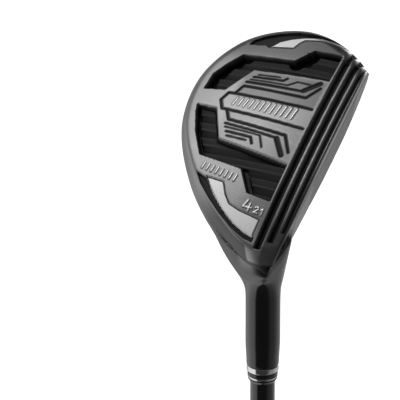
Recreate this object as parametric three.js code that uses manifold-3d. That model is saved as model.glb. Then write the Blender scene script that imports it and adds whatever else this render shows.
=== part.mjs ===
// Hybrid golf club: a hollow steel head with a slotted, pocketed sole, a two-ring ferrule,
// a tapered graphite shaft and a rubber grip.
//
// Part frame: millimetres, +Z runs along the shaft from the grip to the head, and the origin is
// the centre of the grip's butt end. The face looks toward -Y and the toe toward +X.
//
// Head frame: X toward the toe, Y toward the target, Z up as the club is soled. Its origin is the
// point where the shaft's axis meets the ground.

import * as THREE from 'three';
import { mergeVertices, toCreasedNormals } from 'three/addons/utils/BufferGeometryUtils.js';
import Module from 'manifold-3d';

// ---- overall -------------------------------------------------------------------------------
const clubLength = 1010;        // butt end to the ground point of the shaft's axis
const lieAngle = 60;            // degrees between the shaft and the ground
const loftAngle = 21;           // degrees that the face leans back
const pieceGap = 0.3;           // clearance between pieces that are bonded or welded together

// ---- head shell ------------------------------------------------------------------------------
const headCentreX = 40;         // the point in plan that the shell's sections shrink to
const headCentreY = -20;
const headReach = 45;           // mean reach of the widest section from that point
const widestSection = [         // seen in plan, from the heel round the back to the toe
  [-19, 1], [-8, -17], [15, -40], [41, -54], [66, -55], [86, -43], [94.5, -20],
  [86, 3], [68, 18], [0, 20], [-16, 14],
];
const crownHeight = 37;         // crown above the ground at the toe side
const heelHeightShare = 0.72;   // how much of that height is left at the heel
const skirtHeight = 12;         // height of the widest section
const soleShare = 0.87;         // the sole plate's reach as a share of the widest section
const camberHeelToe = 0.0011;   // sole curvature, mm of rise per square mm
const camberFrontBack = 0.0016;
const leadingEdgeY = 12;        // the leading edge ahead of the shaft's axis
const wallThickness = 2.2;      // cast wall of the body
const crownThickness = 1;
const soleThickness = 2.4;      // plain sole, and the metal left above its pockets and slots
const seamHeight = 16;          // weld seam between body and crown
const crownHeelX = 6;           // the crown stops short of the neck here

// ---- face ------------------------------------------------------------------------------------
const faceThickness = 2.8;
const faceBottom = 8;           // the plate starts this high above the ground
const faceHeelX = 8;
const scoreLineCount = 8;
const scoreLinePitch = 3.4;
const scoreLineWidth = 0.8;
const scoreLineDepth = 0.5;
const scoreLineLength = 44;
const scoreLineCentreX = 47;

// ---- sole ------------------------------------------------------------------------------------
const slots = [                 // from the pockets toward the leading edge
  { y: 1.6, width: 2.6, depth: 2.2, heelX: -10, toeX: 84 },
  { y: 5.7, width: 2.2, depth: 1.8, heelX: 0, toeX: 82 },
  { y: 9.3, width: 1.4, depth: 1.0, heelX: 1, toeX: 76 },
];
const pocketDepth = 4.2;
const pocketFrontY = -1.2;
const panelThickness = 1.2;     // moulded rib panel on the pocket's floor
const ribHeight = 1.6;
const ribWidth = 1.6;
const inlayDepth = 1.4;
const inlayProud = 0.1;         // the inlays stand this little below the sole
const toePocket = [
  [67, pocketFrontY], [67, -33], [55, -39], [54, -47], [61, -47.5],
  [68, -43], [73, -39], [74.5, -18.5], [80.5, -13], [81.5, pocketFrontY],
];
const heelPocket = [
  [26, pocketFrontY], [30, -31.5], [45.5, -39.5], [46, -47.5], [36, -45], [28, -41],
  [22, -36], [20, -18], [9.5, -11.5], [7, pocketFrontY],
];
const heelInlay = [
  [13.4, -29.9], [12.3, -22], [7, -19], [3.4, -16], [1.4, -10.8], [-0.7, -1.8],
  [-8.6, -1.8], [-7.2, -6.3], [-4.5, -11.6], [0.3, -18.2], [6.5, -24.4], [10, -27.4],
];
const toeInlay = [
  [79, -31.4], [82.8, -28.4], [85.2, -24.3], [87, -19.6], [88.5, -12.7], [88.4, -5.3], [87.5, -1.2],
  [86.6, -1.2], [86.7, -10.9], [86.1, -14.9], [85.3, -18.6], [83.4, -20.1], [80.4, -21.4], [79.6, -26.5],
];

// ---- hosel, ferrule ---------------------------------------------------------------------------
const hoselWall = 1.9;          // metal and glue line outside the shaft's tip
const hoselRimWall = 1.5;       // the same at the hosel's narrowed rim
const hoselTop = 61;            // distances up the shaft's axis from the ground point
const boreDepth = 34;
const neckStart = 31;           // the neck flares below this distance up the axis
const neckEnd = 14;
const neckFrontFlare = 2.2;     // growth of its reach toward the face, the back and the heel
const neckBackFlare = 10;
const neckHeelFlare = 2.4;
const ringWall = 1.4;           // the wide ring outside the shaft's tip
const wideRingHeight = 2.3;
const bandWall = 1.1;           // the band and the thin ring outside it
const bandHeight = 1.3;
const thinRingHeight = 0.9;
const taperHeight = 1.4;
const ringGap = 0.3;

// ---- shaft -----------------------------------------------------------------------------------
const tipRadius = 4.7;
const buttRadius = 7.6;
const shaftWall = 1.3;
const parallelTip = 110;        // length of the straight tip section
const tipClearance = 1;         // between the shaft's end and the bottom of the hosel's bore
const plugLength = 12;          // brass weight in the shaft's tip

// ---- grip ------------------------------------------------------------------------------------
const gripLength = 268;
const gripButtRadius = 13.4;
const gripMouthRadius = 8.9;
const tapeThickness = 0.4;
const tapeGap = 0.1;
const capThickness = 4;
const capRadius = 13;
const ventRadius = 1.6;
const buttInset = 6;            // the shaft's butt end above the club's butt end

// ---- radii that follow the shaft's tip ---------------------------------------------------------
const hoselRadius = tipRadius + hoselWall;
const hoselTopRadius = tipRadius + hoselRimWall;
const ringRadius = tipRadius + ringWall;
const bandRadius = tipRadius + bandWall;

const wasm = await Module();
wasm.setup();

// ---- helpers -----------------------------------------------------------------------------------

/** A closed three.js geometry as a manifold solid. */
function solidOf(geometry) {
  const bare = geometry.index ? geometry.toNonIndexed() : geometry.clone();
  bare.deleteAttribute('normal');
  bare.deleteAttribute('uv');
  const merged = mergeVertices(bare, 1e-4);
  const mesh = new wasm.Mesh({
    numProp: 3,
    vertProperties: new Float32Array(merged.attributes.position.array),
    triVerts: new Uint32Array(merged.index.array),
  });
  return new wasm.Manifold(mesh);
}

/** A manifold solid as a three.js geometry with creased normals. */
function geometryOf(solid) {
  const mesh = solid.getMesh();
  const geometry = new THREE.BufferGeometry();
  geometry.setAttribute('position', new THREE.BufferAttribute(mesh.vertProperties, 3));
  geometry.setIndex(new THREE.BufferAttribute(mesh.triVerts, 1));
  return toCreasedNormals(geometry, Math.PI / 6);
}

/** A box between two corners. */
function boxSolid(low, high) {
  const size = high.map((value, axis) => value - low[axis]);
  const box = new THREE.BoxGeometry(size[0], size[1], size[2]);
  box.translate((low[0] + high[0]) / 2, (low[1] + high[1]) / 2, (low[2] + high[2]) / 2);
  return solidOf(box);
}

/** An upright prism over an outline in plan, from one height to another. */
function prismSolid(outline, low, high) {
  const shape = new THREE.Shape(outline.map(([x, y]) => new THREE.Vector2(x, y)));
  const prism = new THREE.ExtrudeGeometry(shape, { depth: high - low, bevelEnabled: false });
  prism.translate(0, 0, low);
  return solidOf(prism);
}

/** An outline with each edge moved inward by a distance and its corners mitred. */
function insetOutline(outline, distance) {
  const points = outline.map(([x, y]) => new THREE.Vector2(x, y));
  const turn = THREE.ShapeUtils.isClockWise(points) ? -1 : 1;
  return points.map((point, i) => {
    const before = points[(i + points.length - 1) % points.length];
    const after = points[(i + 1) % points.length];
    const a = point.clone().sub(before).normalize();
    const b = after.clone().sub(point).normalize();
    const normalA = new THREE.Vector2(-a.y, a.x).multiplyScalar(turn);
    const normalB = new THREE.Vector2(-b.y, b.x).multiplyScalar(turn);
    const mitre = normalA.clone().add(normalB);
    mitre.multiplyScalar(distance / (1 + normalA.dot(normalB)));
    return [point.x + mitre.x, point.y + mitre.y];
  });
}

/** A turned solid about Z from a profile of [radius, height] points. */
function turnedGeometry(profile, sides = 48) {
  return new THREE.LatheGeometry(profile.map(([r, z]) => new THREE.Vector2(r, z)), sides)
    .rotateX(Math.PI / 2);
}

/** A smooth step from 0 to 1 between two values. */
function smooth(value, from, to) {
  return THREE.MathUtils.smoothstep(value, from, to);
}

// ---- head shell --------------------------------------------------------------------------------

/** Rise of the cambered sole above the ground. */
function soleRise(x, y) {
  return camberHeelToe * (x - headCentreX) ** 2 + camberFrontBack * (y - headCentreY) ** 2;
}

/** The widest section as a smooth closed curve, measured from the head's centre. */
function planPoints(count) {
  const corners = widestSection.map(([x, y]) => new THREE.Vector3(x - headCentreX, y - headCentreY, 0));
  return new THREE.CatmullRomCurve3(corners, true, 'centripetal').getSpacedPoints(count).slice(0, count);
}

/**
 * The head's outer shape as stacked plan sections. Each section is the widest one shrunk toward
 * the head's centre; from the sole plate's edge it rounds up to the skirt, then over the crown.
 */
function shellGeometry(inset, topInset, bottomInset) {
  const rings = [];
  for (const share of [0.3, 0.6, soleShare]) {
    rings.push({ share, lift: 0, sole: true });
  }
  for (const turn of [20, 40, 60, 78]) {
    const a = THREE.MathUtils.degToRad(turn);
    const share = soleShare + (1 - soleShare) * Math.sin(a);
    rings.push({ share, lift: 1 - Math.cos(a), sole: true });
  }
  for (const turn of [0, 14, 26, 38, 50, 62, 74]) {
    const a = THREE.MathUtils.degToRad(turn);
    rings.push({ share: Math.cos(a), lift: Math.sin(a), sole: false });
  }
  const sides = 72;
  const plan = planPoints(sides);
  const position = [];
  const place = (ring, px, py) => {
    const x = headCentreX + px * ring.share * (1 - inset / headReach);
    const y = headCentreY + py * ring.share * (1 - inset / headReach);
    const height = THREE.MathUtils.lerp(heelHeightShare, 1, smooth(x, -20, 70));
    const rise = soleRise(x, y);
    if (ring.sole) {
      position.push(x, y, rise + bottomInset + ring.lift * (skirtHeight - rise - bottomInset));
    } else {
      const top = (crownHeight - topInset) * height;
      position.push(x, y, skirtHeight + ring.lift * (top - skirtHeight));
    }
  };
  place({ share: 0, lift: 0, sole: true }, 0, 0);
  for (const ring of rings) {
    for (const point of plan) {
      place(ring, point.x, point.y);
    }
  }
  place({ share: 0, lift: 1, sole: false }, 0, 0);
  const index = [];
  const last = position.length / 3 - 1;
  for (let i = 0; i < sides; i += 1) {
    const next = (i + 1) % sides;
    index.push(0, 1 + next, 1 + i);
    for (let r = 0; r < rings.length - 1; r += 1) {
      const a = 1 + r * sides;
      const b = a + sides;
      index.push(a + i, a + next, b + next, a + i, b + next, b + i);
    }
    const top = 1 + (rings.length - 1) * sides;
    index.push(top + i, top + next, last);
  }
  const geometry = new THREE.BufferGeometry();
  geometry.setAttribute('position', new THREE.Float32BufferAttribute(position, 3));
  geometry.setIndex(index);
  return geometry;
}

/** A slab behind the face plane, between two depths, as wide and high as the limits given. */
function faceSlab(front, back, heelX, bottom, toeX = 200) {
  const slab = boxSolid([heelX, -back, -20], [toeX, -front, 80]);
  const leaned = slab.rotate([loftAngle, 0, 0]).translate([0, leadingEdgeY, 0]);
  return leaned.intersect(boxSolid([heelX, -200, bottom], [toeX, 200, 90]));
}

/** A solid about the shaft's axis, given in distance up the axis from the ground point. */
function onShaftAxis(profile, sides = 48) {
  const solid = solidOf(turnedGeometry(profile, sides));
  return solid.rotate([0, lieAngle - 90, 0]);
}

const hoselBase = hoselTop - boreDepth;
const boreRadius = tipRadius + pieceGap;
const outerShell = solidOf(shellGeometry(0, 0, 0)).subtract(faceSlab(-60, 0, -60, -30));
const cavity = solidOf(shellGeometry(wallThickness, crownThickness, wallThickness))
  .subtract(faceSlab(-60, faceThickness + wallThickness, -60, -30))
  .intersect(boxSolid([crownHeelX, -100, 0], [200, 100, 100])
  .intersect(risenSole(soleThickness, 100)))
  .subtract(raisedFloor());
const faceRoom = faceSlab(-10, faceThickness + pieceGap, faceHeelX - pieceGap, faceBottom - pieceGap);
const neck = neckSolid(0).intersect(risenSole(0.6, 120));
const bore = onShaftAxis([
  [0, hoselBase], [boreRadius, hoselBase], [boreRadius, hoselTop + 5], [0, hoselTop + 5],
]);

/** The hosel and the neck under it: round sections that flare, mostly backward, into the heel. */
function neckSolid(grow) {
  const sections = [
    { s: hoselTop, wide: hoselTopRadius, deep: hoselTopRadius, shift: 0 },
    { s: hoselTop - 8, wide: hoselRadius, deep: hoselRadius, shift: 0 },
  ];
  for (let s = neckStart; s >= neckEnd; s -= 4) {
    const t = (neckStart - s) / 20;
    const front = hoselRadius + neckFrontFlare * t;
    const back = hoselRadius + neckBackFlare * t ** 1.6;
    const wide = hoselRadius + neckHeelFlare * t;
    sections.push({ s, wide, deep: (front + back) / 2, shift: (back - front) / 2 });
  }
  const sides = 48;
  const position = [0, 0, hoselTop];
  for (const { s, wide, deep, shift } of sections) {
    for (let i = 0; i < sides; i += 1) {
      const a = (2 * Math.PI * i) / sides;
      position.push((wide + grow) * Math.cos(a), (deep + grow) * Math.sin(a) - shift, s);
    }
  }
  const lowest = sections[sections.length - 1];
  position.push(0, -lowest.shift, lowest.s);
  const index = [];
  const last = position.length / 3 - 1;
  for (let i = 0; i < sides; i += 1) {
    const next = (i + 1) % sides;
    const low = 1 + (sections.length - 1) * sides;
    index.push(0, 1 + i, 1 + next);
    for (let k = 0; k < sections.length - 1; k += 1) {
      const a = 1 + k * sides;
      const b = a + sides;
      index.push(a + i, b + i, b + next, a + i, b + next, a + next);
    }
    index.push(low + i, last, low + next);
  }
  const geometry = new THREE.BufferGeometry();
  geometry.setAttribute('position', new THREE.Float32BufferAttribute(position, 3));
  geometry.setIndex(index);
  return solidOf(geometry).rotate([0, lieAngle - 90, 0]);
}

/** The cuts in the sole: slots behind the leading edge, pockets and inlay seats. */
function soleCuts() {
  const pockets = prismSolid(toePocket, -5, 15).add(prismSolid(heelPocket, -5, 15));
  const seats = prismSolid(toeInlay, -5, 15).add(prismSolid(heelInlay, -5, 15));
  const grooves = slots.map(({ y, width, depth, heelX, toeX }) => {
    const groove = boxSolid([heelX, y - width / 2, -5], [toeX, y + width / 2, 15]);
    return groove.intersect(risenSole(-20, depth));
  });
  return pockets.intersect(risenSole(-20, pocketDepth))
    .add(seats.intersect(risenSole(-20, inlayDepth)))
    .add(grooves[0]).add(grooves[1]).add(grooves[2]);
}

/** The part of the sole that is raised inside the head to make room for the pockets and slots. */
function raisedFloor() {
  const grownToe = prismSolid(insetOutline(toePocket, -wallThickness), -5, 30);
  const grownHeel = prismSolid(insetOutline(heelPocket, -wallThickness), -5, 30);
  const band = boxSolid([-60, slots[0].y - slots[0].width / 2 - wallThickness, -5], [150, 60, 30]);
  return grownToe.add(grownHeel).intersect(risenSole(-20, pocketDepth + soleThickness))
    .add(band.intersect(risenSole(-20, slots[0].depth + soleThickness)));
}

/** The layer between two depths below the sole's own cambered surface. */
function risenSole(low, high) {
  const layer = new THREE.BoxGeometry(200, 120, high - low, 40, 24, 1);
  layer.translate(headCentreX, headCentreY, (low + high) / 2);
  const at = layer.attributes.position;
  for (let i = 0; i < at.count; i += 1) {
    at.setZ(i, at.getZ(i) + soleRise(at.getX(i), at.getY(i)));
  }
  return solidOf(layer);
}

function headBody() {
  const lower = outerShell.intersect(boxSolid([-60, -100, -5], [200, 100, seamHeight]));
  const heel = outerShell.intersect(boxSolid([-60, -100, -5], [crownHeelX, 100, 100]));
  return lower.add(heel).add(neck).subtract(cavity).subtract(bore).subtract(soleCuts())
    .subtract(faceRoom);
}

function crownShell() {
  const low = [crownHeelX + pieceGap, -100, seamHeight + pieceGap];
  return outerShell.intersect(boxSolid(low, [200, 100, 100])).subtract(cavity)
    .subtract(faceRoom).subtract(neckSolid(pieceGap));
}

function facePlate() {
  let plate = outerShell.intersect(faceSlab(-1, faceThickness, faceHeelX, faceBottom));
  for (let i = 0; i < scoreLineCount; i += 1) {
    const up = 9 + i * scoreLinePitch;
    const half = scoreLineLength / 2;
    const low = [scoreLineCentreX - half, -scoreLineDepth, up - scoreLineWidth / 2];
    const high = [scoreLineCentreX + half, 2, up + scoreLineWidth / 2];
    plate = plate.subtract(boxSolid(low, high).rotate([loftAngle, 0, 0]).translate([0, leadingEdgeY, 0]));
  }
  return plate;
}

/** A rib panel bonded to a pocket's floor, its ribs running from back to front. */
function pocketPanel(outline, ribs) {
  const room = prismSolid(insetOutline(outline, pieceGap), -5, 15);
  const floor = pocketDepth - pieceGap;
  const sheet = room.intersect(risenSole(floor - panelThickness, floor));
  const half = ribWidth / 2;
  const bars = ribs.map(([x, backY, frontY]) => boxSolid([x - half, backY, -5], [x + half, frontY, 15]));
  const ribLayer = risenSole(floor - panelThickness - ribHeight, floor);
  return sheet.add(bars[0].add(bars[1]).add(bars[2]).intersect(ribLayer).intersect(room));
}

/** A bright inlay that follows the sole's camber inside its seat. */
function inlay(outline) {
  const room = prismSolid(insetOutline(outline, pieceGap), -5, 12);
  return room.intersect(risenSole(inlayProud, inlayDepth - pieceGap)).intersect(outerShell);
}

// ---- assembly ----------------------------------------------------------------------------------

const club = new THREE.Group();
const head = new THREE.Group();
const lie = THREE.MathUtils.degToRad(lieAngle);
const headAxes = new THREE.Matrix4().makeBasis(
  new THREE.Vector3(Math.sin(lie), 0, Math.cos(lie)),
  new THREE.Vector3(0, -1, 0),
  new THREE.Vector3(Math.cos(lie), 0, -Math.sin(lie)),
);
head.quaternion.setFromRotationMatrix(headAxes);
head.position.set(0, 0, clubLength);
club.add(head);

/** Adds one named piece with its own material to a group. */
function addPiece(parent, name, geometry, color, roughness, metalness) {
  const material = new THREE.MeshStandardMaterial({ color, roughness, metalness });
  const mesh = new THREE.Mesh(geometry, material);
  mesh.name = name;
  parent.add(mesh);
  return mesh;
}

addPiece(head, 'head_body', geometryOf(headBody()), 0x9a9a9a, 0.35, 1);
addPiece(head, 'crown_shell', geometryOf(crownShell()), 0x101010, 0.15, 0.2);
addPiece(head, 'face_plate', geometryOf(facePlate()), 0x8c8c8c, 0.4, 1);
addPiece(head, 'toe_pocket_panel',
  geometryOf(pocketPanel(toePocket, [[69.5, -37, -2], [74, -12, -2], [61, -45, -40]])), 0x1c1c1c, 0.5, 0);
addPiece(head, 'heel_pocket_panel',
  geometryOf(pocketPanel(heelPocket, [[23, -33, -2], [18, -14, -2], [34, -42, -36]])), 0x1c1c1c, 0.5, 0);
addPiece(head, 'toe_inlay', geometryOf(inlay(toeInlay)), 0xdcdcdc, 0.2, 1);
addPiece(head, 'heel_inlay', geometryOf(inlay(heelInlay)), 0xdcdcdc, 0.2, 1);

// The ferrule is a stack of rings on the shaft, from the hosel's rim toward the grip.
const shaftHole = tipRadius + ringGap;
let stackTop = clubLength - hoselTop - ringGap;

/** Adds a ring of the ferrule below the last one and leaves a clearance under it. */
function addRing(name, headRadius, gripRadius, height, color, roughness, metalness) {
  const profile = [
    [shaftHole, stackTop - height], [gripRadius, stackTop - height],
    [headRadius, stackTop], [shaftHole, stackTop], [shaftHole, stackTop - height],
  ];
  addPiece(club, name, turnedGeometry(profile), color, roughness, metalness);
  stackTop -= height + ringGap;
}

addRing('ferrule_wide_ring', ringRadius, ringRadius, wideRingHeight, 0xe8e8e8, 0.12, 1);
addRing('ferrule_band', bandRadius, bandRadius, bandHeight, 0x0c0c0c, 0.2, 0);
addRing('ferrule_thin_ring', bandRadius, bandRadius - 0.1, thinRingHeight, 0xe8e8e8, 0.12, 1);
addRing('ferrule_taper', bandRadius - 0.2, shaftHole + 0.15, taperHeight, 0x0c0c0c, 0.2, 0);

// The shaft is a tapered tube from inside the grip to near the bottom of the hosel's bore.
const shaftTipZ = clubLength - hoselBase - tipClearance;
const parallelZ = shaftTipZ - parallelTip;
const shaftProfile = [
  [buttRadius - shaftWall, buttInset], [buttRadius, buttInset], [buttRadius, buttInset + 60],
  [tipRadius, parallelZ], [tipRadius, shaftTipZ], [tipRadius - shaftWall, shaftTipZ],
  [tipRadius - shaftWall, parallelZ], [buttRadius - shaftWall, buttInset + 60],
  [buttRadius - shaftWall, buttInset],
];
addPiece(club, 'shaft', turnedGeometry(shaftProfile, 40), 0x0a0a0a, 0.12, 0.1);

const plugRadius = tipRadius - shaftWall - pieceGap;
addPiece(club, 'tip_plug', turnedGeometry([
  [0, shaftTipZ - plugLength], [plugRadius, shaftTipZ - plugLength],
  [plugRadius, shaftTipZ], [0, shaftTipZ],
], 24), 0xb08d4a, 0.35, 1);

/** The shaft's outer radius at a height above the butt end. */
function shaftRadius(z) {
  const share = (z - buttInset - 60) / (parallelZ - buttInset - 60);
  return THREE.MathUtils.lerp(buttRadius, tipRadius, THREE.MathUtils.clamp(share, 0, 1));
}

/** A sleeve on the shaft whose bore follows the taper with a clearance. */
function sleeve(outer, clearance, from, to) {
  const bend = buttInset + 60;
  return [
    [shaftRadius(from) + clearance, from], ...outer,
    [shaftRadius(to) + clearance, to], [shaftRadius(bend) + clearance, bend],
    [shaftRadius(from) + clearance, from],
  ];
}

const tapeFrom = capThickness + pieceGap + 2;
const tapeTo = gripLength - 6;
const tapeReach = tapeGap + tapeThickness;
const tapeOuter = [
  [shaftRadius(tapeFrom) + tapeReach, tapeFrom], [shaftRadius(66) + tapeReach, 66],
  [shaftRadius(tapeTo) + tapeReach, tapeTo],
];
const tape = turnedGeometry(sleeve(tapeOuter, tapeGap, tapeFrom, tapeTo), 40);
addPiece(club, 'grip_tape', tape, 0xd8cfa8, 0.9, 0);

const gripOuter = [
  [gripButtRadius - 0.6, capThickness + pieceGap], [gripButtRadius, capThickness + 2.5],
  [gripButtRadius - 0.9, 40], [gripButtRadius - 2.2, 110], [gripMouthRadius + 1, 200],
  [gripMouthRadius, gripLength - 8], [gripMouthRadius - 0.7, gripLength - 1],
  [gripMouthRadius - 1, gripLength],
];
addPiece(club, 'grip_sleeve',
  turnedGeometry(sleeve(gripOuter, tapeReach + tapeGap, capThickness + pieceGap, gripLength), 40),
  0x151515, 0.85, 0);

addPiece(club, 'grip_cap', turnedGeometry([
  [ventRadius, 0], [capRadius - 1.2, 0], [capRadius, 1.2], [capRadius, capThickness],
  [ventRadius, capThickness], [ventRadius, 0],
], 40), 0x151515, 0.8, 0);

export default club;
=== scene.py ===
"""Hybrid golf club: the visible surfaces, finishes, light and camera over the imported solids."""
import bmesh
import bpy
import numpy as np
from mathutils import Matrix, Vector


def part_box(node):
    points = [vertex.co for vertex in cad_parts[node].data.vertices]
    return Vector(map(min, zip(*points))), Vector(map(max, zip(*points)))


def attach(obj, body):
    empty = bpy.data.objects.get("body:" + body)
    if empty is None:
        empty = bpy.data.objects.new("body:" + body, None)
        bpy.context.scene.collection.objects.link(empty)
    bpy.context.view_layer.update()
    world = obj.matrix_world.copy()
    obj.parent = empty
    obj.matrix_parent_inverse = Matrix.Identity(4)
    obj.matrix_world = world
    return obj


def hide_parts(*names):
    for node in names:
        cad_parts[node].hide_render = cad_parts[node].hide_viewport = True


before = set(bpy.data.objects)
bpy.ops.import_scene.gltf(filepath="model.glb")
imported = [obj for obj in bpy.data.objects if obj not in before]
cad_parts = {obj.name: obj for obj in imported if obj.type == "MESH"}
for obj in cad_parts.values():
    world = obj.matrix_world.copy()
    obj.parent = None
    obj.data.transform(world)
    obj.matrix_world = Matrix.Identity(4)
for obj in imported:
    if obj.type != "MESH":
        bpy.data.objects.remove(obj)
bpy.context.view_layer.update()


# ---- head body: the sole ----
# The body is one stainless steel casting. Its sole is cambered both ways, bead-blasted to a
# satin grey, and carries two stepped pockets, three slots behind the leading edge, paint-filled
# line work and the seats of two bright inlays. The casting rolls over its leading edge to the face.
# The head is worked in millimetres: x toward the toe, y toward the target, z up from the ground.
MM = 0.001
LIE = np.radians(60)
LOFT = np.radians(21)
CENTRE = (40.0, -20.0)
WIDEST = [(-19, 1), (-8, -17), (15, -40), (41, -54), (66, -55), (86, -43), (94.5, -20),
          (86, 3), (68, 18), (0, 20), (-16, 14)]
SOLE_SHARE = 0.87
SKIRT_HEIGHT = 12.0
CROWN_HEIGHT = 37.0
LEADING_EDGE = 12.0
HOSEL_TOP = 61.0
GLUE_LINE = 0.3
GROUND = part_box("ferrule_wide_ring")[1][2] + (HOSEL_TOP + GLUE_LINE) * MM


def in_club(x, y, z):
    """Head millimetres to the club's metres: the head is leaned by the lie about the target line."""
    across = np.sin(LIE) * x + np.cos(LIE) * z
    along = np.cos(LIE) * x - np.sin(LIE) * z
    return np.stack(np.broadcast_arrays(across * MM, -y * MM, GROUND + along * MM), axis=-1)


def closed_curve(corners, per_span=24):
    """Smooth closed curve: on each span a cubic that leaves and enters its corners along the
    chord-weighted mean of the neighbouring directions."""
    p1 = np.array(corners, float)
    p0, p2, p3 = np.roll(p1, 1, 0), np.roll(p1, -1, 0), np.roll(p1, -2, 0)
    a = np.sqrt(np.linalg.norm(p1 - p0, axis=1))[:, None]
    b = np.sqrt(np.linalg.norm(p2 - p1, axis=1))[:, None]
    c = np.sqrt(np.linalg.norm(p3 - p2, axis=1))[:, None]
    m1 = b * ((p1 - p0) / a - (p2 - p0) / (a + b) + (p2 - p1) / b)
    m2 = b * ((p2 - p1) / b - (p3 - p1) / (b + c) + (p3 - p2) / c)
    t = np.linspace(0, 1, per_span, endpoint=False)[None, :, None]
    p1, p2, m1, m2 = (v[:, None, :] for v in (p1, p2, m1, m2))
    curve = ((2 * t**3 - 3 * t**2 + 1) * p1 + (t**3 - 2 * t**2 + t) * m1
             + (3 * t**2 - 2 * t**3) * p2 + (t**3 - t**2) * m2)
    return curve.reshape(-1, 2)


plan_curve = closed_curve(WIDEST) - CENTRE
plan_angle = np.arctan2(plan_curve[:, 1], plan_curve[:, 0])
plan_reach = np.hypot(plan_curve[:, 0], plan_curve[:, 1])


def reach(angle):
    """Distance from the head's centre to its widest section, in a direction seen in plan."""
    return np.interp(angle, plan_angle, plan_reach, period=2 * np.pi)


def plan_share(x, y):
    """Distance from the head's centre in plan, as a share of the way to the widest section."""
    across, ahead = x - CENTRE[0], y - CENTRE[1]
    return np.hypot(across, ahead) / reach(np.arctan2(ahead, across))


def smooth(value, low, high):
    """0 below low, 1 above high, and 3t^2 - 2t^3 between."""
    t = np.clip((value - low) / (high - low), 0, 1)
    return t * t * (3 - 2 * t)


def sole_rise(x, y):
    """Camber: the rise over the ground grows with the square of the distance from the middle."""
    return 0.0011 * (x - CENTRE[0]) ** 2 + 0.0016 * (y - CENTRE[1]) ** 2


def crown_top(x):
    """Height of the crown's dome, lower toward the heel."""
    return CROWN_HEIGHT * (0.72 + 0.28 * smooth(x, -20, 70))


def placed(name, data):
    """An object for a mesh, a light or the camera, linked to the scene."""
    made = bpy.data.objects.new(name, data)
    bpy.context.scene.collection.objects.link(made)
    return made


def skin(name, grid, wrap=False, lid=True, marks=None):
    """Mesh from a grid of points. wrap joins the last column to the first, lid closes each open
    border with one face, and marks are named values kept at the points."""
    rows, cols = grid.shape[:2]
    number = np.arange(rows * cols).reshape(rows, cols)
    if wrap:
        number = np.concatenate([number, number[:, :1]], axis=1)
    quads = np.stack([number[:-1, :-1], number[:-1, 1:], number[1:, 1:], number[1:, :-1]], axis=-1)
    quads = quads.reshape(-1, 4)
    mesh = bpy.data.meshes.new(name)
    mesh.from_pydata(grid.reshape(-1, 3).tolist(), [], quads.tolist())
    for key, values in (marks or {}).items():
        layer = mesh.attributes.new(key, "FLOAT", "POINT")
        layer.data.foreach_set("value", np.ascontiguousarray(values, dtype=np.float32).ravel())
    edit = bmesh.new()
    edit.from_mesh(mesh)
    bmesh.ops.remove_doubles(edit, verts=edit.verts, dist=2e-7)
    bmesh.ops.dissolve_degenerate(edit, edges=edit.edges, dist=2e-7)
    if lid:
        rim = [edge for edge in edit.edges if edge.is_boundary]
        bmesh.ops.holes_fill(edit, edges=rim, sides=0)
    bmesh.ops.recalc_face_normals(edit, faces=edit.faces)
    edit.to_mesh(mesh)
    edit.free()
    mesh.shade_smooth()
    return placed(name, mesh)


def nearest(x, y, start, end):
    """The nearest place on a straight line from start to end, and the distance to it."""
    (ax, ay), (bx, by) = start, end
    run = np.clip(((x - ax) * (bx - ax) + (y - ay) * (by - ay))
                  / ((bx - ax) ** 2 + (by - ay) ** 2), 0, 1)
    at_x, at_y = ax + run * (bx - ax), ay + run * (by - ay)
    return at_x, at_y, np.hypot(x - at_x, y - at_y)


def line_distance(x, y, points):
    """Distance to a run of straight lines."""
    return np.min([nearest(x, y, *line)[2] for line in zip(points, points[1:])], axis=0)


def edge_distance(x, y, outline):
    """Distance to a closed outline, positive inside it. A point is inside when a line from it
    toward the toe crosses the outline an odd number of times."""
    near = line_distance(x, y, outline + outline[:1])
    inside = np.zeros(np.shape(x), bool)
    for (ax, ay), (bx, by) in zip(outline, outline[1:] + outline[:1]):
        spans = (ay > y) != (by > y)
        cross = ax + (y - ay) * (bx - ax) / (by - ay if by != ay else 1e-9)
        inside ^= spans & (x < cross)
    return np.where(inside, near, -near)


# Outlines of the pockets, inlays and their recesses, then the slots as the y of the middle,
# width, depth, heel end and toe end, and the engraved lines as a width and its points.
POCKET_DEPTH = 4.2
POCKET_FRONT = -1.2
TOE_POCKET = [(68, POCKET_FRONT), (66.6, -32.4), (54.9, -39.8), (54.2, -48.2), (61.6, -47.8),
              (67.6, -44.2), (73.1, -39.8), (74, -18.1), (80.9, -12.4), (81.2, POCKET_FRONT)]
HEEL_POCKET = [(25.4, POCKET_FRONT), (31.0, -32.4), (45.2, -39.4), (45.9, -47.6), (42.8, -46.8),
               (33.3, -42.9), (22.8, -36.6), (19.6, -17.6), (9.7, -11.2), (8.1, POCKET_FRONT)]
HEEL_INLAY = [(13.4, -29.9), (12.3, -22), (7, -19), (3.4, -16), (1.4, -10.8), (-0.7, -1.8),
              (-8.6, -1.8), (-7.2, -6.3), (-4.5, -11.6), (0.3, -18.2), (6.5, -24.4), (10, -27.4)]
TOE_INLAY = [(79, -31.4), (82.8, -28.4), (85.2, -24.3), (87, -19.6), (88.5, -12.7), (88.4, -5.3),
             (87.5, -1.2), (86.6, -1.2), (86.7, -10.9), (86.1, -14.9), (85.3, -18.6), (83.4, -20.1),
             (80.4, -21.4), (79.6, -26.5)]
TOE_RECESS = [(79.1, -39.8), (79.4, -35.6), (79.9, -33), (78.9, -31.2), (83, -27), (87, -16), (87.6, -1.4),
              (88.7, -2.2), (89.9, -9), (90, -15), (89.2, -22.5), (86.8, -30), (84.2, -35.3), (81.7, -38.6)]
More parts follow.
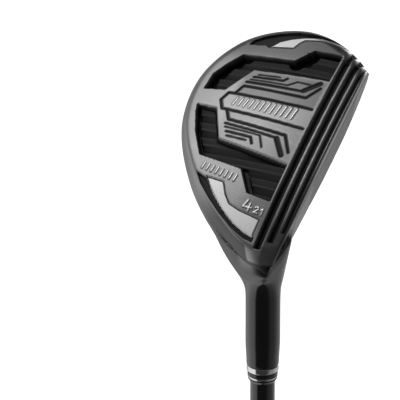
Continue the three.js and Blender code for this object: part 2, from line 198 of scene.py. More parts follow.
HEEL_RECESS = [(15, -34.8), (12.8, -29.8), (9.6, -27), (0, -17.8), (-7.2, -5.6), (-8.6, -1.2), (-10.8, -1.2),
               (-9.9, -5.3), (-6.8, -11.2), (-1.6, -18.5), (4, -25), (9.9, -31)]
SLOTS = [(1.6, 2.5, 2.2, -12.8, 92), (5.7, 2.2, 1.9, -9, 90), (9.2, 1.5, 1.2, -4, 80)]
ENGRAVED = [
    (0.85, [(52.6, -1.8), (53.5, -37.4), (49.6, -39.1), (45.5, -36.9), (42.8, -1.5)]),
    (0.75, [(53.9, -34.6), (57.8, -32.8), (57.4, -6.3), (63.3, -2.6)]),
    (0.7, [(60.0, -32.6), (60.2, -8.8)]),
    (1.7, [(60.6, -8.6), (65.6, -3.6)]),
    (0.3, [(61.4, -31.6), (61.7, -15.8), (64.2, -12.6), (64.0, -6.2)]),
    (0.6, [(62.9, -30.8), (63.5, -18.4), (64.9, -17.2)]),
    (0.3, [(64.3, -29.4), (64.8, -20.2)]),
    (0.85, [(44.9, -34.4), (40.7, -32.0), (38.1, -6.8), (30.7, -2.6)]),
    (0.6, [(38.7, -32.6), (36.2, -10.2)]),
    (1.7, [(36.0, -9.7), (28.8, -4.8)]),
    (0.35, [(37.0, -32.0), (35.9, -16.6), (30.5, -13.7)]),
    (0.65, [(35.0, -30.7), (34.2, -19.8), (31.4, -18.2)]),
    (0.4, [(33.0, -29.7), (32.4, -21.2)]),
]
FOUR = [[(1.4, 5), (0.3, 1.7), (4.0, 1.7)], [(2.9, 3.4), (2.9, 0)]]
TWO = [[(0, 3.9), (0.6, 4.8), (2.0, 4.9), (2.8, 4.1), (2.6, 3.0), (0, 0), (3.0, 0)]]
ONE = [[(0.2, 3.9), (1.6, 5), (1.6, 0)]]


def written(strokes, x, y, size):
    """Strokes of a numeral set on the sole: reading direction toward the face, its top to the toe."""
    return [[(x + up * size, y + along * size) for along, up in stroke] for stroke in strokes]


POLISHED = [(0.62, points) for points in written(FOUR, 1.6, -10.6, 0.95)]
POLISHED += [(0.4, points) for points in written(TWO, 1.5, -5.4, 0.55)]
POLISHED += [(0.4, points) for points in written(ONE, 1.0, -3.0, 0.55)]
POLISHED += [(0.62, [(48.0 - 0.07 * along, -33.4 + along), (51.6 - 0.01 * along, -32.6 + along)])
             for along in np.arange(0, 27.5, 2.3)]
POLISHED += [(0.62, [(16.6 - 0.22 * along, -33.2 + along), (19.4 - 0.22 * along, -32.8 + along)])
             for along in np.arange(0, 15.5, 2.1)]


def sole_relief(x, y):
    """How far the features sink below the sole's camber, with the paint and polish marks. Each
    wall is a smooth step on the distance to its outline."""
    relief = np.zeros(np.shape(x))
    dark = np.zeros(np.shape(x))
    for outline in (TOE_POCKET, HEEL_POCKET):
        inside = edge_distance(x, y, outline)
        relief = np.maximum(relief, POCKET_DEPTH * smooth(inside, -0.3, 0.6))
        dark = np.maximum(dark, smooth(inside, -0.3, 0.3))
    seats = ((HEEL_INLAY, 1.2), (TOE_INLAY, 1.2), (TOE_RECESS, 1.0), (HEEL_RECESS, 1.2))
    for outline, depth in seats:
        inside = edge_distance(x, y, outline)
        relief = np.maximum(relief, depth * smooth(inside, -0.15, 0.3))
        dark = np.maximum(dark, smooth(inside, -0.15, 0.15))
    for middle, width, depth, heel, toe in SLOTS:
        ends = np.minimum(x - heel, toe - x)
        inside = np.minimum(width / 2 - np.abs(y - middle), ends)
        relief = np.maximum(relief, depth * smooth(inside, -0.35, 0.55))
        dark = np.maximum(dark, smooth(inside, -0.2, 0.3))
    for width, points in ENGRAVED:
        near = line_distance(x, y, points)
        relief = np.maximum(relief, 0.3 * smooth(near, width / 2 + 0.2, width / 2 - 0.15))
        dark = np.maximum(dark, smooth(near, width / 2 + 0.2, width / 2 - 0.1))
    bright = np.zeros(np.shape(x))
    for width, points in POLISHED:
        near = line_distance(x, y, points)
        bright = np.maximum(bright, smooth(near, width / 2 + 0.2, width / 2 - 0.1))
    return relief - 0.15 * bright, dark, bright


def darker_wall(x, y):
    """Where the side wall is darker: round the heel, and above the toe inlay."""
    return np.maximum(smooth(x, 10, -4), 0.8 * smooth(x, 66, 80) * smooth(y, 0, -6))


def skirt_lift(x, y, steepest=0.99):
    """How far up the skirt's quarter ellipse a place is: 0 on the sole, near 1 at the widest."""
    out = np.clip((plan_share(x, y) - SOLE_SHARE) / (1 - SOLE_SHARE), 0, steepest)
    return 1 - np.sqrt(1 - out**2)


def sole_height(x, y):
    """Camber, and past the sole share the skirt's quarter ellipse up to its widest section."""
    rise = sole_rise(x, y)
    return rise + skirt_lift(x, y) * (SKIRT_HEIGHT - rise)


def crossing(inside, outside, level, steps=24):
    """Halving search for the place between two arrays where level changes sign."""
    for _ in range(steps):
        middle = (inside + outside) / 2
        deep = level(middle) < 0
        inside, outside = np.where(deep, middle, inside), np.where(deep, outside, middle)
    return inside


def face_y(z):
    """The face plane leans back from the leading edge by the loft."""
    return LEADING_EDGE - np.tan(LOFT) * z


PLATE_SHARE = 0.975
FACE_PLATE_LOW = 8.4
CORNER = 1.7


def sole_surface(columns=380, lines=235):
    """Plan x runs from heel to toe. In each column a path runs from the back edge over the sole to
    where it meets the face plane, then climbs that plane. The corner is rounded by averaging the
    path over a short window of its length. The finish marks, painted shade and a painted
    highlight among them, are smooth steps on x, y and the share."""
    edge = PLATE_SHARE * plan_curve + CENTRE
    heel, toe = np.argmin(edge[:, 0]), np.argmax(edge[:, 0])
    first, last = min(heel, toe), max(heel, toe)
    sides = [edge[first:last + 1], np.concatenate([edge[last:], edge[:first + 1]])]
    sides.sort(key=lambda chain: chain[:, 1].mean())
    chains = [chain[np.argsort(chain[:, 0])] for chain in sides]
    u = np.linspace(-1, 1, columns)[None, :]
    u = 0.7 * u + 0.3 * np.sin(u * np.pi / 2)
    x = edge[heel, 0] + (edge[toe, 0] - edge[heel, 0]) * (0.5 + 0.5 * u)
    back = np.interp(x, chains[0][:, 0], chains[0][:, 1])
    front = np.interp(x, chains[1][:, 0], chains[1][:, 1])
    corner = crossing(np.minimum(front, 0), front, lambda y: y - face_y(sole_height(x, y)))
    height = sole_height(x, corner)
    climb = np.clip(FACE_PLATE_LOW - height, 0, None) / np.cos(LOFT)
    climb = np.where(front - corner > 1e-3, climb, 0)
    corner = np.where(climb > 0, corner, front)
    run = back + (corner + climb - back) * np.linspace(0, 1, lines)[:, None]
    y, z = np.zeros(run.shape), np.zeros(run.shape)
    window = np.hanning(11)[1:-1]
    for offset, weight in zip(np.linspace(-1, 1, 9), window / window.sum()):
        at = np.clip(run + CORNER * offset * (climb > 0), back, corner + climb)
        on_sole = np.minimum(at, corner)
        up = height + (at - corner) * np.cos(LOFT)
        y += weight * np.where(at > corner, face_y(up), on_sole)
        z += weight * np.where(at > corner, up, sole_height(x, on_sole))
    x = np.broadcast_to(x, y.shape)
    relief, dark, bright = sole_relief(x, np.minimum(run, 30))
    share = plan_share(x, y)
    keep = np.where(climb > 0, smooth(corner - run, 0.2, 1.6), 1)
    wider = 0.07 * smooth(y, -4, -1) * smooth(x, 20, 10)
    rim = smooth(share - wider, 0.895, 0.905) * darker_wall(x, y)
    leading_edge = smooth(y, 9, 10.6)
    # Painted shade: the strip in front of the slots toward the heel, a strip at the toe's rear and the heel's
    # number zone are darkened.
    shaded = np.maximum(smooth(x, 34, 4) * leading_edge, 0.75 * smooth(x, 66, 78) * smooth(y, 0, -5))
    shaded = np.maximum(shaded, 0.5 * smooth(x, 22, 12) * smooth(x, -10, -2) * smooth(y, -16, -6))
    # Painted shade: the emblem blocks either side of the middle band are darkened, the heel one less.
    toe_block = smooth(x + 0.025 * y, 52.3, 53.2) * smooth(x, 67.5, 65.5)
    heel_block = smooth(x + 0.076 * y, 42.9, 42.2) * smooth(x - 0.18 * (y + 1.2), 25.4, 28.4)
    painted_block_shade = np.maximum(toe_block, 0.35 * heel_block) * smooth(y, -37, -33) * smooth(y, -0.6, -2.2)
    # plate is low where the tone is darker: the darker wall and the painted shade.
    plate = 1 - np.maximum(rim, np.maximum(shaded, 0.6 * painted_block_shade))
    # Painted shade, not lacquer: the strip in front of the slots is darkened to near black toward the heel.
    # The heel corner in front of the slots is darkened as well.
    lacquer = 0.85 * smooth(x, 40, 0) * leading_edge
    lacquer = np.maximum(lacquer, 0.75 * smooth(x, 6, -6) * smooth(y, 3, 4))
    # Painted highlight: the toe end of the leading edge is made bright where it would catch the light.
    toe_painted_highlight = smooth(share, 0.915, 0.945) * smooth(x, 72, 82) * smooth(y, -5, 1)
    bright = np.maximum(bright, toe_painted_highlight)
    return in_club(x, y, z + relief * keep), np.maximum(dark * keep, lacquer), bright, plate


points, dark, bright, plate = sole_surface()
sole = skin("sole", points, marks={"dark": dark, "bright": bright, "plate": plate})


class Value:
    """A node socket that takes part in arithmetic: each operator adds one Math node."""

    def __init__(self, finish, socket):
        self.finish, self.socket = finish, socket

    def _math(self, operation, first, second):
        return self.finish.node("Math", {"operation": operation}, {0: first, 1: second})

    def __add__(self, other):
        return self._math("ADD", self, other)

    def __sub__(self, other):
        return self._math("SUBTRACT", self, other)

    def __rsub__(self, other):
        return self._math("SUBTRACT", other, self)

    def __mul__(self, other):
        return self._math("MULTIPLY", self, other)

    __radd__ = __add__
    __rmul__ = __mul__


class Finish:
    """One material: a Principled shader whose varying sockets are fed by expressions."""

    def __init__(self, name, **fixed):
        self.material = bpy.data.materials.new(name)
        self.material.use_nodes = True
        self.tree = self.material.node_tree
        self.shader = self.tree.nodes["Principled BSDF"]
        self.set(fixed)

    def set(self, sockets):
        """Feeds the shader's sockets, which are named with a low line for each space."""
        for key, value in sockets.items():
            self.give(self.shader.inputs[key.replace("_", " ")], value)

    def give(self, socket, value):
        """A link, or a fixed value. A colour is red, green and blue, or one number for a grey."""
        if isinstance(value, Value):
            self.tree.links.new(value.socket, socket)
        elif socket.type == "RGBA":
            colour = value if isinstance(value, tuple) else (value, value, value)
            socket.default_value = (*colour, 1)
        else:
            socket.default_value = value

    def node(self, kind, settings=None, inputs=None, output=0):
        """Adds a shader node: its settings first, then the values or links of its sockets."""
        made = self.tree.nodes.new("ShaderNode" + kind)
        for key, value in (settings or {}).items():
            setattr(made, key, value)
        for key, value in (inputs or {}).items():
            self.give(made.inputs[key], value)
        return Value(self, made.outputs[output])

    def place(self, stretch=(1, 1, 1)):
        """Object coordinates, stretched along the axes."""
        coords = self.node("TexCoord", output="Object")
        return self.node("Mapping", {}, {"Vector": coords, "Scale": stretch})

    def noise(self, scale, detail=3.0, rough=0.5, stretch=(1, 1, 1)):
        return self.node("TexNoise", {}, {"Vector": self.place(stretch), "Scale": scale,
                         "Detail": detail, "Roughness": rough})

    def ramp(self, value, low, high):
        """0 below low, 1 above high and a straight line between."""
        return self.node("MapRange", {"clamp": True},
                         {"Value": value, "From Min": low, "From Max": high})

    def mark(self, name):
        """A named value kept at the mesh's points."""
        return self.node("Attribute", {"attribute_name": name}, {}, output="Fac")

    def blend(self, share, first, second):
        """Colour mix: first where share is 0, second where it is 1."""
        return self.node("Mix", {"data_type": "RGBA"}, {0: share, 6: first, 7: second}, output=2)

    def bump(self, height, distance, strength):
        """Feeds the shader's normal from a height."""
        relief = self.node("Bump", {},
                           {"Height": height, "Distance": distance, "Strength": strength})
        self.give(self.shader.inputs["Normal"], relief)


def satin_steel(name, tone, wall_and_shade_tone, rough):
    """Bead-blasted cast steel: even satin with a fine grain, faint handling marks and, where the
    mesh carries them, black paint in the recesses, polish on the raised marks, a darker tone
    outside the sole plate, and painted shade and a painted highlight on the sole."""
    finish = Finish(name)
    cloud = finish.noise(55, 4)
    grain = finish.noise(5200, 2, 0.6)
    scuff = finish.ramp(finish.noise(160, 6, 0.7, (1, 0.25, 1)), 0.56, 0.72)
    dark, bright, plate = finish.mark("dark"), finish.mark("bright"), finish.mark("plate")
    base = finish.blend(cloud, (tone * 0.88, tone * 0.88, tone * 0.9), tone)
    # Where plate is low the tone is darker: the darker wall round the heel and above the toe inlay, and
    # painted shade on the sole.
    base = finish.blend(plate, wall_and_shade_tone, base)
    # bright: polish on the raised marks, and at the toe a painted highlight.
    base = finish.blend(bright, base, 0.85)
    # dark: black paint in the recesses, and in front of the slots painted shade.
    base = finish.blend(dark, base, 0.004)
    finish.set({"Base_Color": base, "Metallic": 1 - 0.8 * dark,
                "Roughness": rough + 0.08 * cloud + 0.06 * grain - 0.07 * scuff - 0.1 * bright + 0.12 * dark})
    finish.bump(grain + 0.4 * scuff, 0.00003, 0.5)
    return finish.material


steel = satin_steel("blasted_steel", tone=0.36, wall_and_shade_tone=0.12, rough=0.22)
sole.data.materials.append(steel)
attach(sole, "root")
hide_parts("head_body")


# ---- head body: the skirt ----
# The casting's side wall rounds up from the sole plate's edge to the weld seam of the crown. It
# is the same blasted steel, and it is darker round the heel and above the toe inlay.
SEAM_HEIGHT = 16.3
SEAM_LAP = 0.4


def held_behind_face(x, y, z, soft=2.2):
    """Points in front of the face plane are pulled back to it, with a rounded corner."""
    ahead = y - face_y(z)
    return x, face_y(z) + (ahead - np.sqrt(ahead**2 + soft**2)) / 2, z


def upper_shell(angle, high, tuck=1.0):
    """The upper quarter ellipse, by angle about the head's centre and angle up the ellipse."""
    x = CENTRE[0] + reach(angle) * np.cos(angle) * np.cos(high) * tuck
    y = CENTRE[1] + reach(angle) * np.sin(angle) * np.cos(high) * tuck
    return x, y, SKIRT_HEIGHT + np.sin(high) * (crown_top(x) - SKIRT_HEIGHT)


def seam_angle(angle, height):
    """The angle up the upper quarter ellipse at which it is at a height."""
    widest_x = CENTRE[0] + reach(angle) * np.cos(angle)
    return np.arcsin((height - SKIRT_HEIGHT) / (crown_top(widest_x) - SKIRT_HEIGHT))


def skirt_surface(around=420, rows=40):
    """Angle about the head's centre by height: the lower quarter ellipse from the sole plate's
    edge to the widest section, then the upper one as far as the seam, tucked under the crown."""
    angle = np.linspace(0, 2 * np.pi, around, endpoint=False)[None, :]
    t = np.linspace(0, 1, rows)[:, None]
    low = np.radians(50 + 40 * t)
    share_low = SOLE_SHARE + (1 - SOLE_SHARE) * np.sin(low)
    x = CENTRE[0] + reach(angle) * np.cos(angle) * share_low
    y = CENTRE[1] + reach(angle) * np.sin(angle) * share_low
    rise = sole_rise(x, y)
    z = rise + (1 - np.cos(low)) * (SKIRT_HEIGHT - rise) + 0.3 * smooth(t, 0.12, 0.02)
    climbed = np.linspace(0, 1, 8)[1:, None]
    high = climbed * seam_angle(angle, SEAM_HEIGHT + SEAM_LAP)
    upper = upper_shell(angle, high, 1 - 0.003 * climbed**2)
    x, y, z = (np.concatenate(rows) for rows in zip((x, y, z), upper))
    return in_club(*held_behind_face(x, y, z)), 1 - darker_wall(x, y)


points, plate = skirt_surface()
skirt = skin("skirt", points, wrap=True, marks={"plate": plate})
skirt.data.materials.append(steel)
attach(skirt, "root")


# ---- crown ----
# A thin steel shell is welded on the body along the seam and painted gloss black under a clear coat.
def crown_surface(around=420, rows=90):
    """Upper quarter ellipse from the seam to the top, by angle about the head's centre."""
    angle = np.linspace(0, 2 * np.pi, around, endpoint=False)[None, :]
    start = seam_angle(angle, SEAM_HEIGHT)
    high = start + (np.pi / 2 - start) * np.linspace(0, 1, rows)[:, None]
    return in_club(*held_behind_face(*upper_shell(angle, high)))


def gloss_black(name):
    """Black lacquer with a clear coat: slight orange peel, dust-fine scratches, no flakes."""
    finish = Finish(name, Metallic=0.0, Coat_Roughness=0.03, Coat_IOR=1.5)
    peel = finish.noise(420, 2)
    rub = finish.ramp(finish.noise(900, 5, 0.7, (1, 1, 0.15)), 0.60, 0.74)
    finish.set({"Base_Color": finish.blend(peel, (0.004, 0.004, 0.005), (0.009, 0.009, 0.010)),
                "Roughness": 0.16 + 0.05 * peel + 0.08 * rub, "Coat_Weight": 0.9 - 0.3 * rub})
    finish.bump(peel, 0.00004, 0.25)
    return finish.material


black_lacquer = gloss_black("black_lacquer")
crown = skin("crown", crown_surface(), wrap=True)
crown.data.materials.append(black_lacquer)
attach(crown, "root")
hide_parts("crown_shell")


# ---- face plate ----
# A rolled steel plate is welded into the front of the body. It is milled flat, blasted between the
# score lines, and the eight cut lines stop short of the heel and toe.
def shell_parts(x, y, z):
    """How far outside the head's upper and lower shell a point is, in shares of each one's size."""
    share = plan_share(x, y)
    over = (z - SKIRT_HEIGHT) / (crown_top(x) - SKIRT_HEIGHT)
    under = (SKIRT_HEIGHT - z) / np.maximum(SKIRT_HEIGHT - sole_rise(x, y), 1)
    outside = np.clip((share - SOLE_SHARE) / (1 - SOLE_SHARE), 0, None)
    upper = np.hypot(share, np.clip(over, 0, None)) - 1
    lower = np.where(share < SOLE_SHARE, under, np.hypot(outside, under)) - 1
    return np.stack([upper, lower])


def shell_level(x, y, z):
    """The upper part above the widest section and the lower part below it: negative inside."""
    upper, lower = shell_parts(x, y, z)
    return np.where(z > SKIRT_HEIGHT, upper, lower)


FACE_HEEL, FACE_TOE = 6.5, 83.0
LINE_COUNT = 8
LINE_PITCH = 3.4
FIRST_LINE = 9.0
LINE_HALF_LENGTH = 22.0
LINE_MIDDLE = 47.0
PROUD = 0.10


def face_surface(columns=330, lines=150):
    """Across the face by height on the face plane: each column runs from the plate's lower edge
    to just under the crown's edge. Score lines are smooth steps on the distance to each line, and
    the plate's rim falls away the same way."""
    x = np.linspace(FACE_HEEL, FACE_TOE, columns)[None, :]
    middle = np.full(x.shape, 14.0)
    top = crossing(middle, middle + 30, lambda z: shell_level(x, face_y(z), z)) - 1.3
    low = np.maximum(8.0, crossing(middle, middle - 14, lambda z: shell_level(x, face_y(z), z)) + 0.6)
    top = np.maximum(top, low + 0.3)
    t = np.linspace(0, 1, lines)[:, None]
    z = low + (top - low) * t
    up = z / np.cos(LOFT)
    rim = np.minimum(np.minimum(z - low, top - z), np.minimum(x - FACE_HEEL, FACE_TOE - x))
    line = np.clip(np.round((up - FIRST_LINE) / LINE_PITCH), 0, LINE_COUNT - 1)
    ends = LINE_HALF_LENGTH - np.abs(x - LINE_MIDDLE)
    inside = np.minimum(0.4 - np.abs(up - FIRST_LINE - LINE_PITCH * line), ends)
    groove = smooth(inside, -0.12, 0.25)
    depth = 0.4 * groove + 0.5 * smooth(rim, 0.5, 0.0)
    y = face_y(z) + (PROUD - depth) / np.cos(LOFT)
    return in_club(np.broadcast_to(x, z.shape), y, z), groove


def face_steel():
    """Milled steel: fine straight cutter marks along the face, and the score lines near black."""
    finish = Finish("face_steel", Metallic=1.0)
    mill = finish.noise(2600, 2, 0.5, (0.08, 1, 1))
    grain = finish.noise(3600, 3, 0.7)
    ball = finish.ramp(finish.noise(70, 4), 0.55, 0.75)
    groove = finish.mark("groove")
    base = finish.blend(grain, (0.34, 0.34, 0.35), (0.42, 0.42, 0.43))
    base = finish.blend(groove, base, 0.05)
    finish.set({"Base_Color": base,
                "Roughness": 0.30 + 0.1 * grain + 0.05 * mill - 0.06 * ball + 0.2 * groove})
    finish.bump(grain + 0.6 * mill, 0.00004, 0.6)
    return finish.material


points, groove = face_surface()
face = skin("face", points, marks={"groove": groove})
face.data.materials.append(face_steel())
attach(face, "root")
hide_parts("face_plate")


# ---- neck and hosel ----
# The hosel is part of the casting: a round socket for the shaft whose neck flares into the heel.
# It is lacquered with the crown down to a masked line above the sole, and is dark steel below
# it, with a painted highlight near the sole.
NECK_START = 31.0
NECK_END = 12.0
BEND = [(-18.0, 0.0, 31.18), (-12.0, 0.0, 20.78), (2.0, -4.5, 12.4), (16.0, -9.0, 8.0)]
HOSEL_RADIUS = 6.6
BORE_RADIUS = 5.0


def neck_level(x, y, z):
    """How far outside the neck a point is. Its section across the shaft's axis is a shifted ellipse
    that grows backward and toward the heel below the neck's start; the polar radius comes from the
    quadratic of a ray through the ellipse."""
    s = np.sin(LIE) * z - np.cos(LIE) * x
    across = np.sin(LIE) * x + np.cos(LIE) * z
    angle, far = np.arctan2(y, across), np.hypot(across, y)
    below = (NECK_START - s) / 20
    t = np.clip((below + np.sqrt(below**2 + 0.02)) / 2, 0, 1.0)
    front, rear = HOSEL_RADIUS + 2.2 * t, HOSEL_RADIUS + 10 * t**1.6
    narrow = 0.4 * smooth(s, 51, 61)
    wide = HOSEL_RADIUS + 2.4 * t - narrow
    deep, shift = (front + rear) / 2 - narrow, (rear - front) / 2
    a = np.cos(angle) ** 2 / wide**2 + np.sin(angle) ** 2 / deep**2
    b = 2 * shift * np.sin(angle) / deep**2
    c = shift**2 / deep**2 - 1
    return np.maximum(far - (-b + np.sqrt(b * b - 4 * a * c)) / (2 * a), NECK_END - s)


def casting_level(x, y, z):
    """Neck and head shell joined with a blend that widens away from the sole plate. The shell's
    shares become millimetres when divided by their slope. It is swollen by a hair round the neck
    and shrunk elsewhere, so that the surface dives under the rest."""
    step = 0.05
    here = shell_parts(x, y, z)
    moved = (shell_parts(x + step, y, z), shell_parts(x, y + step, z), shell_parts(x, y, z + step))
    slope = np.sqrt(sum((there - here) ** 2 for there in moved))
    upper, lower = here * step / np.maximum(slope, 0.01 * step)
    shell = np.where(z > SKIRT_HEIGHT, upper, lower)
    ahead = (y - face_y(z)) * np.cos(LOFT)
    shell = (shell + ahead + np.sqrt((shell - ahead) ** 2 + 4)) / 2
    neck = neck_level(x, y, z)
    shell = shell + 0.5 - 0.65 * smooth(x, 8, -2) * smooth(z, 4.4, 6.0) * smooth(neck, 11, 8)
    shell = shell + 5.0 * smooth(x, 4, 9)
    blend = 1.5 + 6.5 * smooth(z, 5, 12)
    close = np.clip(blend - np.abs(shell - neck), 0, None) / blend
    share = plan_share(x, y)
    under_sole = (0.3 * smooth(share, 0.992, 0.98) + 3 * smooth(share, 0.97, 0.945)) * smooth(z, 9, 7)
    return np.minimum(shell, neck) - close**2 * blend / 4 + under_sole


def neck_surface(around=224, rows=210):
    """A section carried along a spine: straight down the hosel, then on a cubic bend into the head.
    On each ray of each section the first place where the casting ends is found by walking out and
    halving. The rim turns in to the shaft's bore."""
    axis = np.array([[-np.cos(LIE), 0, np.sin(LIE)]])
    straight = np.linspace(HOSEL_TOP, 36, rows // 3)[:, None] * axis
    t = np.linspace(0, 1, rows - rows // 3 + 1)[1:, None]
    p0, p1, p2, p3 = (np.array(point) for point in BEND)
    bend = (1 - t) ** 3 * p0 + 3 * (1 - t) ** 2 * t * p1 + 3 * (1 - t) * t**2 * p2 + t**3 * p3
    spine = np.concatenate([straight, bend])
    along = np.gradient(spine, axis=0)
    along = along / np.linalg.norm(along, axis=1)[:, None]
    side = np.array([0, 1, 0]) - along[:, 1:2] * along
    side = side / np.linalg.norm(side, axis=1)[:, None]
    over = np.cross(along, side)
    angle = np.linspace(0, 2 * np.pi, around, endpoint=False)[None, :, None]
    ray = np.cos(angle) * over[:, None] + np.sin(angle) * side[:, None]

    def spot(r):
        """Head coordinates at a distance out on each ray."""
        return np.moveaxis(spine[:, None] + ray * r[..., None], -1, 0)

    def level(r):
        return casting_level(*spot(r))

    inner = np.full(ray.shape[:2], 1.0)
    found = np.zeros(ray.shape[:2], bool)
    for far in np.linspace(2, 44, 43):
        found |= level(np.full(found.shape, far)) > 0
        inner = np.where(found, inner, far)
    r = crossing(inner, inner + 1, level, 14)
    x, y, z = spot(r)
    s = np.sin(LIE) * z - np.cos(LIE) * x
    rim = smooth(s, HOSEL_TOP - 0.35, HOSEL_TOP) * (np.arange(rows) < rows // 3)[:, None]
    x, y, z = spot(r * (1 - 0.045 * rim))
    mouth = spine[:1, None] + BORE_RADIUS * ray[:1]
    bore = in_club(*np.moveaxis(mouth, -1, 0))
    deep = bore + np.array([0, 0, 33 * MM])
    black = np.maximum(smooth(s - 0.5 * y, 29.7, 30.2), smooth(z, 15.9, 16.3))
    black = np.pad(black, ((2, 0), (0, 0)), constant_values=1)
    # Painted highlight: the steel is lighter near the sole, where a reflection runs down from the sole
    # plate's tip.
    pale = smooth(z, 12, 4) * smooth(y, 4, 0) * smooth(y, -7, -3)
    pale = np.pad(pale, ((2, 0), (0, 0)))
    return np.concatenate([deep, bore, in_club(x, y, z)]), black, pale


def neck_finish():
    """Black lacquer above the masked line, dark steel below it, with a painted highlight by the sole."""
    finish = Finish("neck_finish", Coat_Roughness=0.03, Coat_IOR=1.5)
    paint = finish.mark("paint")
    cloud = finish.noise(60, 3)
    peel = finish.noise(420, 2)
    base = finish.blend(cloud, (0.13, 0.13, 0.135), 0.16)
    # The pale mark is a painted highlight on the dark steel.
    base = finish.blend(finish.mark("pale"), base, 0.33)
    finish.set({"Base_Color": finish.blend(paint, base, (0.005, 0.005, 0.006)), "Metallic": 1 - paint,
                "Roughness": 0.24 + 0.05 * cloud - 0.10 * paint, "Coat_Weight": 0.9 * paint})
    finish.bump(peel, 0.00003, 0.12)
    return finish.material


points, paint, pale = neck_surface()
hosel = skin("hosel", points, wrap=True, marks={"paint": paint, "pale": pale})
hosel.data.materials.append(neck_finish())
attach(hosel, "root")


# ---- pocket panels ----
# Each pocket is lined with a moulded black panel, bonded to its floor, whose louvred ribs run from
# back to front in line with the pockets' sides.
def gathered(outline, nx, ny):
    """A grid over an outline's box, its outer points pulled in to the nearest place on the
    outline, so that the sheet ends exactly there."""
    low, high = np.min(outline, axis=0), np.max(outline, axis=0)
    x = np.linspace(low[0], high[0], nx)[:, None] + np.zeros(ny)
    y = np.linspace(low[1], high[1], ny) + np.zeros((nx, 1))
    sides = zip(outline, outline[1:] + outline[:1])
    places = np.stack([np.stack(nearest(x, y, *side)) for side in sides])
    closest = places[:, 2:].argmin(axis=0, keepdims=True)
    edge_x, edge_y, _ = np.take_along_axis(places, closest, axis=0)[0]
    outside = edge_distance(x, y, outline) < 0
    x, y = np.where(outside, edge_x, x), np.where(outside, edge_y, y)
    return x, y, np.clip(edge_distance(x, y, outline), 0, None)


def panel_surface(outline, crests, pitch, shades):
    """Louvres: in each pitch the surface rises slowly toward the toe, with a low second rib half
    way, and drops steeply past its crest. Beside the shade lines the slats stop and the floor
    is painted near black as shadow."""
    x, y, inside = gathered(outline, 200, 240)
    phase = ((x - crests) / pitch + 0.86) % 1.0
    slat = np.where(phase < 0.86, phase / 0.86, (1 - phase) / 0.14)
    slat = 0.85 * slat + 0.18 * np.exp(-((phase - 0.42) / 0.07) ** 2)
    painted_shadow = np.zeros(x.shape)
    for width, points in shades:
        painted_shadow = np.maximum(painted_shadow, smooth(line_distance(x, y, points), width, width - 0.5))
    slat = slat * (1 - painted_shadow) * smooth(inside, 0.1, 0.8)
    return in_club(x, y, sole_rise(x, y) + POCKET_DEPTH - 0.4 - 2.3 * slat), slat, painted_shadow


def panel_finish():
    """Moulded black polymer: fine texture, crests a little smoother and greyer with a painted highlight, and
    painted shadow beside the shade lines.
    """
    finish = Finish("panel_black", Metallic=0.0, Specular_IOR_Level=0.5)
    grain = finish.noise(3800, 3, 0.6)
    crest = finish.ramp(finish.mark("slat"), 0.05, 0.95)
    # Painted highlight: the crests are greyer where light would catch them.
    base = finish.blend(crest, (0.012, 0.012, 0.013), (0.080, 0.080, 0.083))
    # Painted shadow: near black where the slats stop beside the shade lines.
    base = finish.blend(finish.mark("painted_shadow"), base, 0.002)
    finish.set({"Base_Color": base, "Roughness": 0.42 + 0.12 * grain - 0.12 * crest})
    finish.bump(grain, 0.00004, 0.5)
    return finish.material


panel_black = panel_finish()
TOE_SHADES = [(2.8, [(54, -48.2), (61.6, -47.8), (67.6, -44.2), (73.1, -39.8), (73.5, -38)]),
              (3.4, [(74.6, -17.6), (79.6, -13.4)])]
HEEL_SHADES = [(1.4, [(46, -47.8), (42.8, -46.8), (33.3, -42.9), (22.8, -36.6)]),
               (2.2, [(19.2, -17.2), (10.2, -11.4)])]
for name, outline, crests, pitch, shades in (("toe_panel", TOE_POCKET, 66.9, 6.2, TOE_SHADES),
                                             ("heel_panel", HEEL_POCKET, 38.6, 7.0, HEEL_SHADES)):
    points, slat, painted_shadow = panel_surface(outline, crests, pitch, shades)
    panel = skin(name, points, marks={"slat": slat, "painted_shadow": painted_shadow})
    panel.data.materials.append(panel_black)
    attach(panel, "root")
    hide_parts(name.replace("_panel", "_pocket_panel"))


# ---- inlays ----
# Two bright plates are bonded in shallow seats: a thin crescent at the toe and a broad one at the
# heel. Their edges are bevelled and their faces finely brushed along the club's heel-toe line.
def inlay_surface(outline, n):
    """A plate gathered to its outline: level with the sole, falling away at a bevelled edge."""
    x, y, inside = gathered(outline, n, n)
    z = sole_rise(x, y) + 0.12 + 0.7 * smooth(inside, 0.55, 0.0)
    return in_club(x, y, z + skirt_lift(x, y, 0.9) * (SKIRT_HEIGHT - z))


def bright_silver():
    """Silver plate under a fine straight brushing, a little cloudy."""
    finish = Finish("bright_silver", Metallic=1.0)
    brush = finish.noise(1500, 3, 0.6, (1, 0.06, 1))
    cloud = finish.noise(90, 3)
    finish.set({"Base_Color": finish.blend(brush, 0.90, 0.98),
                "Roughness": 0.34 + 0.1 * brush + 0.05 * cloud})
    finish.bump(brush, 0.00002, 0.5)
    return finish.material


silver = bright_silver()
for name, outline in (("toe_inlay", TOE_INLAY), ("heel_inlay", HEEL_INLAY)):
    inlay = skin(name + "_plate", inlay_surface(outline, 150))
    inlay.data.materials.append(silver)
    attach(inlay, "root")
    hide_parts(name)


# ---- ferrule ----
# The ferrule hides the hosel's rim: a wide polished ring, a black band, a thin polished ring and
# a short black taper that runs out on the shaft. Each is turned and slid on over the epoxy.
def turned(name, profile, around=160):
    """A profile of radius and height carried once round the shaft's axis."""
    r, z = np.array(profile).T[:, :, None]
    angle = np.linspace(0, 2 * np.pi, around, endpoint=False)[None, :]
    grid = np.stack([r * np.cos(angle), r * np.sin(angle), z + 0 * angle], axis=-1)
    return skin(name, grid, wrap=True, lid=False)


RING_BORE = 0.00475


